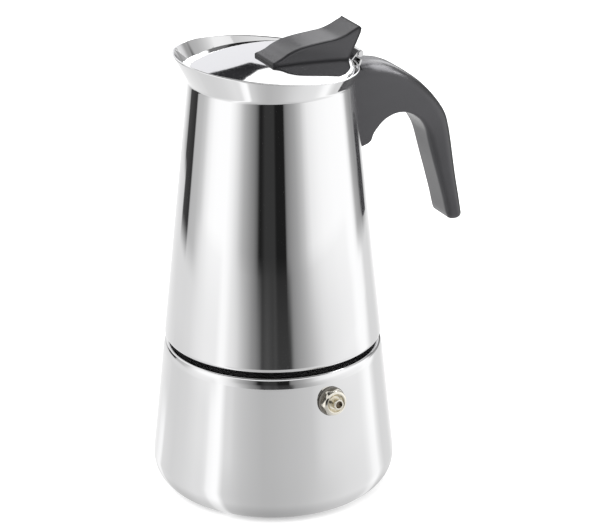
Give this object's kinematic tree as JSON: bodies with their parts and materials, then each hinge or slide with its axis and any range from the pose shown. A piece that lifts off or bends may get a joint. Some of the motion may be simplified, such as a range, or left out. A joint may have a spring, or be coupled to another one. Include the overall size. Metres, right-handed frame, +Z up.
{
  "type": "moka pot",
  "caption": "Stovetop coffee maker: conical steel boiler with safety valve, screwed-on steel jug with flared lip, hinged flat lid, black hooked handle and lever knob.",
  "frame": {"origin": "centre of the base disc's lower face, on the surface that the pot stands on", "axes": "+Z up along the pot's axis, +X towards the handle, -X towards the pouring lip, +Y completes a right-handed frame; the valve is near -Y"},
  "size_m": [0.134, 0.1022, 0.1928],
  "materials": {
    "polished_steel": "mirror polished stainless steel",
    "plain_steel": "drawn stainless steel, satin",
    "black_plastic": "satin black moulded plastic",
    "valve_brass": "nickel-plated brass",
    "silicone": "off-white silicone",
    "seal_grey": "dark grey sealing ring"
  },
  "bodies": {
    "boiler": {"boiler_shell": "polished_steel", "base_disc": "plain_steel", "valve_body": "valve_brass", "valve_washer": "seal_grey", "valve_nut": "valve_brass", "valve_seat": "valve_brass", "valve_spring": "plain_steel"},
    "valve_stem": {"valve_stem": "plain_steel"},
    "funnel": {"funnel_cup": "plain_steel", "funnel_tube": "plain_steel", "funnel_sieve": "plain_steel"},
    "filter_plate": {"filter_plate": "plain_steel"},
    "gasket": {"gasket": "silicone"},
    "jug": {"jug_shell": "polished_steel", "thread_collar": "plain_steel", "jug_floor": "plain_steel", "riser_tube": "plain_steel", "riser_cap": "polished_steel", "handle": "black_plastic", "handle_bracket": "plain_steel", "handle_screw": "plain_steel", "hinge_bracket": "polished_steel", "hinge_pin": "plain_steel"},
    "lid": {"lid_shell": "polished_steel", "lid_hinge_leaf": "polished_steel", "lid_knob": "black_plastic", "knob_screws": "plain_steel"}
  },
  "joints": [
    {"name": "funnel_lift", "type": "slide", "parent": "boiler", "child": "funnel", "axis": [0, 0, 1], "range_m": [0, 0.075]},
    {"name": "jug_lift", "type": "slide", "parent": "funnel", "child": "filter_plate", "axis": [0, 0, 1], "range_m": [0, 0.06]},
    {"name": "thread_rise", "type": "slide", "parent": "filter_plate", "child": "gasket", "axis": [0, 0, 1], "range_m": [0, 0.00601]},
    {"name": "jug_turn", "type": "hinge", "parent": "gasket", "child": "jug", "pos_m": [0, 0, 0.07], "axis": [0, 0, 1], "range_deg": [0, 540]},
    {"name": "lid_hinge", "type": "hinge", "parent": "jug", "child": "lid", "pos_m": [0.0356, 0, 0.1814], "axis": [0, 1, 0], "range_deg": [0, 100]},
    {"name": "valve_slide", "type": "slide", "parent": "boiler", "child": "valve_stem", "axis": [0.0901, -0.9905, 0.1042], "range_m": [0, 0.0012], "stiffness_N_per_m": 800, "springref_m": -0.002, "deforming": ["valve_spring"]}
  ],
  "couplings": [
    {"joint": "thread_rise", "follows": "jug_turn", "m_per_rad": 0.00063662}
  ]
}
